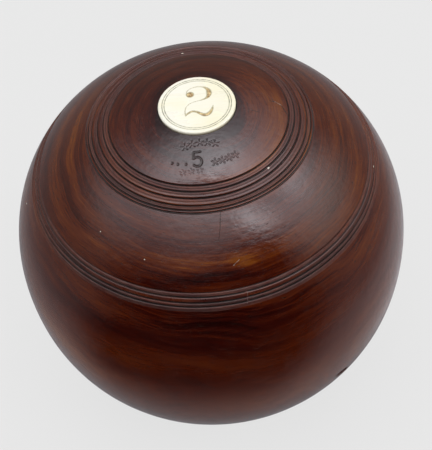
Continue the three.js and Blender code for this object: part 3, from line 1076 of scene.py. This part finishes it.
woodFinish = {
    "pith": (0, -7, 0),
    "lean": (0.02, 0.03, 0),
    "warp": 5.0,
    # colours of the wood by tone, from 0 to 1
    "tones": [(0.0, (0.010, 0.0008, 0.0006)), (0.25, (0.027, 0.0022, 0.0008)),
              (0.5, (0.052, 0.0065, 0.0012)), (0.75, (0.084, 0.0145, 0.0018)),
              (1.0, (0.138, 0.034, 0.0022))],
    "broad": 0.95,             # how much the rings, the turning marks and the beads' crests change the tone
    "streaks": 0.75,
    "hairs": 0.65,
    "turning": 0.55,
    "crests": 0.12,
    "softer": (60, 74, 0.5),   # the figure softens over this walk, to this share
    # scale of the turning marks and of the fine tool lines round the bowl, and how many times
    # faster they change along the walk
    "turningNoise": (0.22, 11.0),
    "latheNoise": (0.05, 60.0),
    "poreLevels": (0.30, 0.20),  # of the noise, where pores start and are full
    # scale of the patches of dust and of roughness, and the levels of the noise at both ends
    "dustNoise": (0.5, 0.35, 0.65),
    "roughNoise": (0.3, 0.3, 0.7),
    "waveScale": 0.6,
    "dust": (0.085, 0.055, 0.042, 1),
    # near black, for pores, cracks and the grime mask, which holds dirt and painted shade
    "grime": (0.006, 0.004, 0.003, 1),
    "speck": (0.62, 0.56, 0.48, 1),
    # how much of their colour the pores, hair scratches, dusty places, dark lines and scratches take
    "poreShare": 0.5,
    "hairShare": 0.18,
    "dustShare": 0.16,
    "crackShare": 0.85,
    "scoreShare": 0.35,
    "roughness": (0.10, 0.21),  # of clean wood, and how much each mask adds
    "rougher": {"dull": 0.38, "grime": 0.35, "pore": 0.08, "crack": 0.15},
    "refraction": 1.5,
    # heights in millimetres, below 0 for what is cut in
    "relief": {"lathe": 0.012, "waves": 0.06, "hair": -0.006, "pore": -0.008, "score": -0.05,
               "crack": -0.07},
    # turn about X, Y and Z of each set of hair scratches, and its width
    "hairSets": [((0, 0, 0.3), 0.006), ((0.2, 0.7, 1.4), 0.005), ((0.9, 0.1, 2.4), 0.005)],
    # arc, azimuth and radius
    "specks": [(28.2, 38.2, 0.40), (28.2, -174.8, 0.40), (57.3, 76.8, 0.5), (45.2, -44.9, 0.18),
               (47.3, -24.9, 0.18), (64.8, -84.8, 0.3)],
    # arc and azimuth of both ends, width
    "cracks": [(33.9, 5.1, 38.9, 3.4, 0.16), (38.9, 3.4, 41.5, 2.2, 0.10)],
    "darkLines": [(20.7, 92.0, 22.2, 91.3, 0.24), (24.0, 88.1, 25.6, 80.5, 0.24),
                  (14.8, 77.5, 17.1, 76.8, 0.22), (42.4, 1.6, 44.4, 5.6, 0.10),
                  (44.4, 5.6, 45.2, 9.1, 0.10), (45.6, 17.2, 47.3, 18.3, 0.10)],
    "scratches": [(48.4, 6.0, 47.2, 8.4, 0.10), (22.2, 91.3, 24.0, 88.1, 0.10),
                  (26.6, 2.2, 27.0, 2.8, 0.12), (56.2, 8.7, 59.3, 8.0, 0.08)],
}


def placeAt(arc, azimuth):
    # The point of the upper crown at an arc and azimuth, in millimetres of the frame.
    radius, height, _, _ = crownAtArc(biasSide, arc)
    turn = math.radians(azimuth)
    return (radius * math.sin(turn), -radius * math.cos(turn), soleLevel + height)


def markMask(tree, place, ends):
    # 1 on any of the straight marks between these ends.
    mask = 0.0
    for startArc, startTurn, endArc, endTurn, width in ends:
        line = useGroup(tree, scoreLine, Place=place, Start=placeAt(startArc, startTurn),
                        End=placeAt(endArc, endTurn), Width=width)["Mask"]
        mask = calc(tree, "MAXIMUM", mask, line)
    return mask


def woodMaterial():
    # The tone that is stored in the mesh, shifted by the rings, picks a colour. Pores, hair scratches,
    # dust, grime with painted shade in the grooves and round the disc, specks, dark lines and scratches are
    # laid over it in this order.
    material, tree, shader = newMaterial("polishedHardwood")
    finish = woodFinish
    place = millimetrePlace(tree)
    rings = useGroup(tree, growthRings, Place=place, Pith=finish["pith"], Lean=finish["lean"],
                     Warp=finish["warp"])
    grime, dull, band, walk = (attribute(tree, name) for name in ("grime", "dull", "band", "walk"))

    scale, pace = finish["turningNoise"]
    turning = noise(tree, place, scale, 1.0, 0.6, calc(tree, "MULTIPLY", walk, pace))
    crest = calc(tree, "MULTIPLY", band, calc(tree, "SUBTRACT", 1.0, calc(tree, "MINIMUM", dull, 1.0)))
    tone = addShare(tree, crest, finish["crests"], attribute(tree, "tone"))
    start, end, share = finish["softer"]
    softer = between(tree, walk, start, end, 1.0, share)
    for value, name in ((rings["Broad"], "broad"), (rings["Streaks"], "streaks"), (rings["Hairs"], "hairs"),
                        (turning, "turning")):
        shift = calc(tree, "MULTIPLY", calc(tree, "SUBTRACT", value, 0.5), softer)
        tone = addShare(tree, shift, finish[name], tone)
    ramp = addNode(tree, "ValToRGB", {"Fac": tone})
    stops = ramp.color_ramp.elements
    for position, _ in finish["tones"][1:-1]:
        stops.new(position)
    for stop, (position, shade) in zip(stops, finish["tones"]):
        stop.position = position
        stop.color = (*shade, 1)

    def over(colour, mask, share, name):
        # The colour with as much of a finish over it as the mask times its share.
        return blend(tree, calc(tree, "MULTIPLY", mask, share), colour, finish[name])

    pore = calc(tree, "MULTIPLY", between(tree, rings["Pores"], *finish["poreLevels"]), softer)
    colour = over(ramp.outputs[0], pore, finish["poreShare"], "grime")
    hair = None
    for turn, width in finish["hairSets"]:
        lines = useGroup(tree, hairScratches, Place=place, Turn=turn, Width=width)["Lines"]
        hair = lines if hair is None else calc(tree, "MAXIMUM", hair, lines)
    colour = over(colour, hair, finish["hairShare"], "dust")
    scale, low, high = finish["dustNoise"]
    patches = between(tree, noise(tree, place, scale, 3.0), low, high, 0.0, finish["dustShare"])
    colour = over(colour, dull, patches, "dust")
    # near black over the grime mask: dirt, and painted shade in the grooves and the gap round the disc
    colour = blend(tree, grime, colour, finish["grime"])
    for arc, azimuth, radius in finish["specks"]:
        mask = useGroup(tree, spot, Place=place, Centre=placeAt(arc, azimuth), Radius=radius)["Mask"]
        colour = blend(tree, mask, colour, finish["speck"])
    crack, darkLine, score = (markMask(tree, place, finish[name])
                              for name in ("cracks", "darkLines", "scratches"))
    colour = over(colour, calc(tree, "MAXIMUM", crack, darkLine), finish["crackShare"], "grime")
    colour = over(colour, score, finish["scoreShare"], "speck")
    wire(tree, colour, shader.inputs["Base Color"])

    scale, low, high = finish["roughNoise"]
    rough = between(tree, noise(tree, place, scale, 4.0, 0.65), low, high, *finish["roughness"])
    for mask, name in ((dull, "dull"), (grime, "grime"), (pore, "pore"), (crack, "crack")):
        rough = addShare(tree, mask, finish["rougher"][name], rough)
    wire(tree, rough, shader.inputs["Roughness"])
    shader.inputs["IOR"].default_value = finish["refraction"]

    scale, pace = finish["latheNoise"]
    lathe = noise(tree, place, scale, 2.0, 0.5, calc(tree, "MULTIPLY", walk, pace))
    height = calc(tree, "MULTIPLY", lathe, finish["relief"]["lathe"])
    waves = noise(tree, place, finish["waveScale"])
    for mask, name in ((waves, "waves"), (hair, "hair"), (pore, "pore"),
                       (score, "score"), (crack, "crack")):
        height = addShare(tree, mask, finish["relief"][name], height)
    addRelief(tree, shader, height)
    return material


discFinish = {
    "pale": (0.90, 0.88, 0.79, 1),
    "warm": (0.86, 0.80, 0.56, 1),
    "stain": (0.38, 0.33, 0.19, 1),
    "edge": (0.25, 0.17, 0.09, 1),
    "grainTurn": 0.5,          # about Z
    "grainStretch": (0.12, 1.3, 0.12),
    "grainLevels": (0.35, 0.7),  # of the noise, where the grain starts and is full
    "grainWarmth": 0.25,       # what it adds to the warm colour
    "cloudScale": 0.12,
    "cloudLevels": (0.4, 0.65),
    "cloudWarmth": 0.5,
    "evenShare": 0.7,          # of the warmth of both; some more grows from left to right
    "rightWarmth": (9.0, 0.35),  # half the way that it takes, and how much it is
    "wornStain": (0.35, 0.95),  # how much of the stain is left where it is worn and where it isn't
    "wornNoise": (2.2, 0.3, 0.65),
    "edgeShare": 0.8,
    "scratchTurn": 1.1,
    "scratchWidth": 0.004,
    "scratchAmount": 0.5,
    "scratchShare": 0.3,
    "roughness": (0.22, 0.34),
    "refraction": 1.54,
    "grainHeight": 0.006,      # in millimetres
    "scratchHeight": -0.004,
}


def discMaterial():
    # A pale colour that grain and clouds turn warm, worn stain in the cuts, and a brown edge.
    material, tree, shader = newMaterial("agedIvory")
    finish = discFinish
    place = millimetrePlace(tree)
    grain = addNode(tree, "Mapping", {"Vector": place, "Rotation": (0, 0, finish["grainTurn"]),
                                      "Scale": finish["grainStretch"]}).outputs[0]
    lines = noise(tree, grain, 1.0, 3.0, 0.55)
    cloud = noise(tree, place, finish["cloudScale"], 3.0)
    grainShare = between(tree, lines, *finish["grainLevels"])
    cloudShare = between(tree, cloud, *finish["cloudLevels"])
    warmth = calc(tree, "ADD", calc(tree, "MULTIPLY", grainShare, finish["grainWarmth"]),
                  calc(tree, "MULTIPLY", cloudShare, finish["cloudWarmth"]))
    across = addNode(tree, "SeparateXYZ", {"Vector": place}).outputs["X"]
    half, most = finish["rightWarmth"]
    warmth = calc(tree, "ADD", calc(tree, "MULTIPLY", warmth, finish["evenShare"]),
                  between(tree, across, -half, half, 0.0, most))
    colour = blend(tree, warmth, finish["pale"], finish["warm"])
    scale, low, high = finish["wornNoise"]
    worn = between(tree, noise(tree, place, scale, 3.0), low, high, *finish["wornStain"])
    scratch = useGroup(tree, hairScratches, Place=place, Turn=(0, 0, finish["scratchTurn"]),
                       Width=finish["scratchWidth"], Amount=finish["scratchAmount"])["Lines"]
    for mask, share, name in ((attribute(tree, "stain"), worn, "stain"),
                              (attribute(tree, "edge"), finish["edgeShare"], "edge"),
                              (scratch, finish["scratchShare"], "stain")):
        colour = blend(tree, calc(tree, "MULTIPLY", mask, share), colour, finish[name])
    wire(tree, colour, shader.inputs["Base Color"])
    wire(tree, between(tree, cloud, 0.3, 0.7, *finish["roughness"]), shader.inputs["Roughness"])
    shader.inputs["IOR"].default_value = finish["refraction"]
    height = calc(tree, "MULTIPLY", lines, finish["grainHeight"])
    addRelief(tree, shader, addShare(tree, scratch, finish["scratchHeight"], height))
    return material


cutFinish = {
    # pale and dark patches, how fine they are, and the colour where it has worn thin
    "numeral": ((0.76, 0.58, 0.30, 1), (0.22, 0.12, 0.04, 1), 1.1, (0.38, 0.35, 0.21, 1)),
    "line": ((0.62, 0.61, 0.46, 1), (0.26, 0.26, 0.18, 1), 0.8),
    "cement": ((0.06, 0.04, 0.028, 1), (0.02, 0.013, 0.01, 1), 0.4),
    "patchLevels": (0.4, 0.64),
    "ragged": (2.6, -0.5),     # scale of the noise that makes the worn edge ragged, and its share
    "thinRun": (0.12, -0.16),  # where it is still full and where it has worn thin, in from the edge
    "roughness": (0.7, 0.9),   # of the dark and the pale patches
    "relief": (3.0, 0.02),     # scale, and height in millimetres
}


def wornColourMaterial(name, pale, dark, grain, thin=None):
    # Dull colour or grime in a cut. Where the cut is narrow or near its edge it has worn thin.
    material, tree, shader = newMaterial(name)
    place = millimetrePlace(tree)
    finish = cutFinish
    patches = between(tree, noise(tree, place, grain, 4.0, 0.65), *finish["patchLevels"])
    colour = blend(tree, patches, dark, pale)
    if thin:
        scale, share = finish["ragged"]
        ragged = addShare(tree, noise(tree, place, scale, 3.0), share, attribute(tree, "inward"))
        colour = blend(tree, between(tree, ragged, *finish["thinRun"]), colour, thin)
    wire(tree, colour, shader.inputs["Base Color"])
    wire(tree, between(tree, patches, 0.0, 1.0, *finish["roughness"]), shader.inputs["Roughness"])
    scale, height = finish["relief"]
    addRelief(tree, shader, calc(tree, "MULTIPLY", noise(tree, place, scale, 3.0), height))
    return material


materials = {
    "wood": woodMaterial(),
    "disc": discMaterial(),
    "numeral": wornColourMaterial("numeralColour", *cutFinish["numeral"]),
    "line": wornColourMaterial("lineGrime", *cutFinish["line"]),
    "cement": wornColourMaterial("darkCement", *cutFinish["cement"]),
}
for finish, members in pieces.items():
    for piece in members:
        piece.data.materials.clear()
        piece.data.materials.append(materials[finish])
print("finishes made")


# Floor, background and light

studio = {
    "backdrop": 0.807,         # the pale grey that the camera sees
    "floorPale": 0.82,         # the floor's colour as the camera sees it
    "floorBounce": 0.95,       # and as it lights the bowl from below
    "floorShadow": 0.12,       # share of the floor's brightness that a shadow can take away
    "floorHalf": 4.0,          # metres
    "floorDrop": 0.0001,
    "floorRoughness": 0.9,
    "world": 0.4,              # the light that reaches the bowl from all round
    "target": (0, 0, 0.059),   # what the lamps are turned to, in metres
    # azimuth, elevation, distance, width, height, radiance
    "softboxes": {
        "overhead": (180, 84, 1.0, 1.1, 1.1, 1.62),
        "key": (42, 57, 1.1, 0.5, 0.3, 3.0),
        "right": (80, 26, 1.1, 0.8, 0.6, 1.8),
        "left": (-84, 28, 1.1, 0.8, 0.6, 1.5),
    },
}


def seenShare(tree):
    # 1 for what the camera sees, straight on, mirrored or through something clear.
    path = addNode(tree, "LightPath").outputs
    share = calc(tree, "MAXIMUM", path["Is Camera Ray"], path["Is Glossy Ray"])
    return calc(tree, "MAXIMUM", share, path["Is Transmission Ray"])


def makeFloor():
    # A square. The camera sees an even glow with a share of its shading, for the shadow, and all
    # other light meets a plain pale surface.
    mesh = bpy.data.meshes.new("floor")
    half = studio["floorHalf"]
    corners = [(-half, -half, 0), (half, -half, 0), (half, half, 0), (-half, half, 0)]
    mesh.from_pydata(corners, [], [(0, 1, 2, 3)])
    floor = bpy.data.objects.new("floor", mesh)
    floor.location.z = -studio["floorDrop"]
    bpy.context.scene.collection.objects.link(floor)
    material, tree, shader = newMaterial("paleFloor")
    seen = seenShare(tree)
    level = between(tree, seen, 0.0, 1.0, studio["floorBounce"], studio["floorPale"])
    colour = addNode(tree, "CombineColor", {"Red": level, "Green": level, "Blue": level})
    wire(tree, colour.outputs[0], shader.inputs["Base Color"])
    shader.inputs["Roughness"].default_value = studio["floorRoughness"]
    shader.inputs["Specular IOR Level"].default_value = 0.0
    glow = addNode(tree, "Emission", {"Color": (1, 1, 1, 1), "Strength": studio["backdrop"]})
    mixed = addNode(tree, "MixShader")
    wire(tree, calc(tree, "MULTIPLY", seen, 1 - studio["floorShadow"]), mixed.inputs[0])
    wire(tree, shader.outputs[0], mixed.inputs[1])
    wire(tree, glow.outputs[0], mixed.inputs[2])
    wire(tree, mixed.outputs[0], tree.nodes["Material Output"].inputs["Surface"])
    mesh.materials.append(material)


def makeWorld():
    # The pale backdrop for the camera, and a weaker light from all round for everything else.
    world = bpy.data.worlds.new("studio")
    bpy.context.scene.world = world
    world.use_nodes = True
    tree = world.node_tree
    background = tree.nodes["Background"]
    level = between(tree, seenShare(tree), 0.0, 1.0, studio["world"], studio["backdrop"])
    wire(tree, level, background.inputs["Strength"])
    background.inputs["Color"].default_value = (1, 1, 1, 1)


def directionTo(azimuth, elevation):
    # The unit vector from the bowl's middle towards an azimuth and elevation.
    turn, rise = math.radians(azimuth), math.radians(elevation)
    return Vector((math.sin(turn) * math.cos(rise), -math.cos(turn) * math.cos(rise), math.sin(rise)))


def makeSoftbox(name, azimuth, elevation, distance, width, height, radiance):
    # A soft lamp for the diffuse light only: what the polish mirrors is the room below.
    lamp = bpy.data.lights.new(name, "AREA")
    lamp.shape = "RECTANGLE"
    lamp.size, lamp.size_y = width, height
    lamp.energy = radiance * math.pi * width * height
    softbox = bpy.data.objects.new(name, lamp)
    bpy.context.scene.collection.objects.link(softbox)
    away = directionTo(azimuth, elevation)
    softbox.location = Vector(studio["target"]) + away * distance
    softbox.rotation_euler = away.to_track_quat("Z", "Y").to_euler()
    softbox.visible_camera = False
    softbox.visible_glossy = False


room = {
    "distance": 0.6,           # metres
    "columns": 120,
    "rows": 90,
    "span": (-89.5, 89.9),     # elevations of the first and the last row
    "clearance": 0.0003,       # over the floor
    "colour": (1.0, 0.975, 1.02, 1),
    "lowColour": (1.03, 0.96, 0.88, 1),  # warmer light round this elevation, so far up and down
    "lowBand": (16, 34),
    # below, a width is an azimuth and half width, and a level is an elevation and how tall it is
    "base": 0.28,              # brightness everywhere
    "overhead": (5.0, 27.0),   # brightness straight above, and how far it spreads
    "overheadRight": (0.35, 120, 80),  # share more, width
    "backLeft": (0.74, -158, 66, 72, 54),  # share less, width, where it starts, down to where it is full
    # a gap in the overhead light: elevations where it starts and is full, azimuths from the front
    # where it has ended and is full, share less, how much higher it starts in front, over what half
    "gap": (71.5, 76.5, 92, 72, 0.81, 5.0, 34),
    # brightness, width, elevations where it starts and is full, and where it has ended and is full
    "window": (2.1, 82, 46, 1, 40, 66, 46),
    # brightness, width, level
    "windowCorner": (1.8, 92, 26, 50, 8),
    "left": (1.0, -90, 50, 45, 13),
    "backRight": (0.42, 138, 48, 46, 12),
    "key": (5.0, 43, 14, 57, 8.5, -0.35),  # and how much higher for each degree to the right
    "floorGlow": (0.07, 0.22, 96, 62),  # brightness, how much more at a width
    "floorSpan": (-12, -20, -34, -44),  # elevations where it starts, is full, fades and has ended
    # the darkness in front: azimuth, half widths where it is full and has ended, share, its top, and
    # how much higher that is for each degree to the right, as far as the turn below
    "dark": (-3, 42, 72, 0.985, 42.5, 0.22),
    "darkTurn": 40,
    "darkSoft": 12,            # half the height over which its top fades
    "darkFoot": (-42, -18),    # elevations where it starts from below and is full
    "darkLean": 0.45,          # how far left it shifts for each degree below the horizon
    "darkNarrower": (0.8, -12, 30),  # how much narrower for each degree below this, so many degrees
}


def roomLevel(azimuth, elevation):
    # How bright the room is by direction: a broad light overhead with a gap on the camera's side, a
    # tall window at the right with a bright corner, a lamp beside it, a weaker light at the left, a
    # floor that is lighter at some distance, and darkness in front.
    def about(centre):
        return np.abs(turnFrom(azimuth, centre))

    def bell(height, tall):
        return np.exp(-((elevation - height) / tall) ** 2)

    strength, spread = room["overhead"]
    overhead = strength * bell(90, spread)
    more, centre, half = room["overheadRight"]
    overhead *= 1 + more * hill(about(centre), half)
    less, centre, half, high, low = room["backLeft"]
    overhead *= 1 - less * hill(about(centre), half) * smooth(high, low, elevation)
    low, lowFull, outer, inner, share, lift, liftHalf = room["gap"]
    lift = lift * hill(about(0), liftHalf)
    gap = smooth(low + lift, lowFull + lift, elevation) * smooth(outer, inner, about(0))
    strength, centre, half, low, lowFull, high, highFull = room["window"]
    window = strength * hill(about(centre), half)
    window *= smooth(low, lowFull, elevation) * smooth(high, highFull, elevation)
    strength, centre, half, height, tall = room["windowCorner"]
    window += strength * hill(about(centre), half) * bell(height, tall)
    strength, more, centre, half = room["floorGlow"]
    near, full, fading, far = room["floorSpan"]
    glow = strength + more * hill(about(centre), half)
    glow = glow * smooth(near, full, elevation) * smooth(far, fading, elevation)
    sides = 0
    for name in ("left", "backRight"):
        strength, centre, half, height, tall = room[name]
        sides = sides + strength * bell(height, tall) * hill(about(centre), half)
    strength, centre, wide, height, tall, slant = room["key"]
    height = height + slant * (azimuth - centre)
    key = strength * np.exp(-(about(centre) / wide) ** 2 - ((elevation - height) / tall) ** 2)
    centre, inner, outer, depth, top, rise = room["dark"]
    top = top + rise * np.clip(azimuth, -room["darkTurn"], room["darkTurn"])
    less, highest, extent = room["darkNarrower"]
    turned = about(centre + room["darkLean"] * np.minimum(elevation, 0))
    turned = turned + less * np.clip(highest - elevation, 0, extent)
    dark = depth * smooth(outer, inner, turned)
    dark *= smooth(top + room["darkSoft"], top - room["darkSoft"], elevation)
    dark *= smooth(*room["darkFoot"], elevation)
    return window + key + (overhead * (1 - share * gap) + sides + glow + room["base"]) * (1 - dark)


def makeRoom():
    # What the polish mirrors: a dome round the bowl that comes down to just above the floor. Each
    # point lies in its direction from the bowl's middle, at the distance or where it meets the floor.
    turn, rise = np.meshgrid(np.arange(room["columns"]) / room["columns"] * 360 - 180,
                             np.linspace(*room["span"], room["rows"]), indexing="ij")
    middle = studio["target"][2]
    height = middle - room["clearance"]
    away = np.minimum(room["distance"], height / np.maximum(np.sin(np.radians(-rise)), 0.001))
    flat = away * np.cos(np.radians(rise))
    points = np.stack([flat * np.sin(np.radians(turn)), -flat * np.cos(np.radians(turn)),
                       middle + away * np.sin(np.radians(rise))], axis=-1)
    numbers = np.arange(turn.size).reshape(turn.shape)
    ahead = np.roll(numbers, -1, axis=0)
    faces = np.stack([numbers[:, :-1], numbers[:, 1:], ahead[:, 1:], ahead[:, :-1]], axis=-1)
    mesh = bpy.data.meshes.new("mirroredRoom")
    mesh.from_pydata(points.reshape(-1, 3).tolist(), [], faces.reshape(-1, 4).tolist())
    centre, half = room["lowBand"]
    for label, values in {"level": roomLevel(turn, rise), "low": hill(rise - centre, half)}.items():
        stored = mesh.attributes.new(label, "FLOAT", "POINT")
        stored.data.foreach_set("value", values.astype(np.float32).ravel())
    dome = bpy.data.objects.new("mirroredRoom", mesh)
    bpy.context.scene.collection.objects.link(dome)
    material, tree, _ = newMaterial("roomLight")
    colour = blend(tree, attribute(tree, "low"), room["colour"], room["lowColour"])
    glow = addNode(tree, "Emission", {"Color": colour, "Strength": attribute(tree, "level")})
    wire(tree, glow.outputs[0], tree.nodes["Material Output"].inputs["Surface"])
    mesh.materials.append(material)
    dome.visible_camera = False
    dome.visible_diffuse = False
    dome.visible_transmission = False
    dome.visible_shadow = False


makeFloor()
makeWorld()
for name, values in studio["softboxes"].items():
    makeSoftbox(name, *values)
makeRoom()


# Camera

view = {
    "tilt": 36.0,              # from the turning axis, in degrees
    "roll": 6.68,
    "distance": 0.2667,        # metres from the middle of the sole's plane
    "nearest": 0.01,           # nothing closer than this is drawn
    "lens": 62.6,
    "sensor": 36,
    "centre": (211.6, 232.0),  # pixel where the middle of the sole's plane lies
    "picture": (432, 450),
}


def makeCamera():
    # It looks at the middle of the sole's plane from the front and above, rolled about its own
    # axis, and the lens is shifted so that this middle falls on its pixel.
    data = bpy.data.cameras.new("camera")
    camera = bpy.data.objects.new("camera", data)
    bpy.context.scene.collection.objects.link(camera)
    tilt, roll = math.radians(view["tilt"]), math.radians(view["roll"])
    back = Vector((0, -math.sin(tilt), math.cos(tilt)))
    right = Vector((1, 0, 0))
    up = back.cross(right)
    rolledRight = right * math.cos(roll) - up * math.sin(roll)
    rolledUp = right * math.sin(roll) + up * math.cos(roll)
    turn = Matrix((rolledRight, rolledUp, back)).transposed()
    middle = Vector((0, 0, soleLevel * millimetre))
    camera.matrix_world = Matrix.Translation(middle + back * view["distance"]) @ turn.to_4x4()
    width, height = view["picture"]
    longSide = max(width, height)
    data.sensor_width = view["sensor"]
    data.lens = view["lens"]
    data.shift_x = (width / 2 - view["centre"][0]) / longSide
    data.shift_y = (view["centre"][1] - height / 2) / longSide
    data.clip_start = view["nearest"]
    bpy.context.scene.camera = camera


makeCamera()
bpy.context.scene.view_settings.view_transform = "Standard"
print("stage, light and camera made")
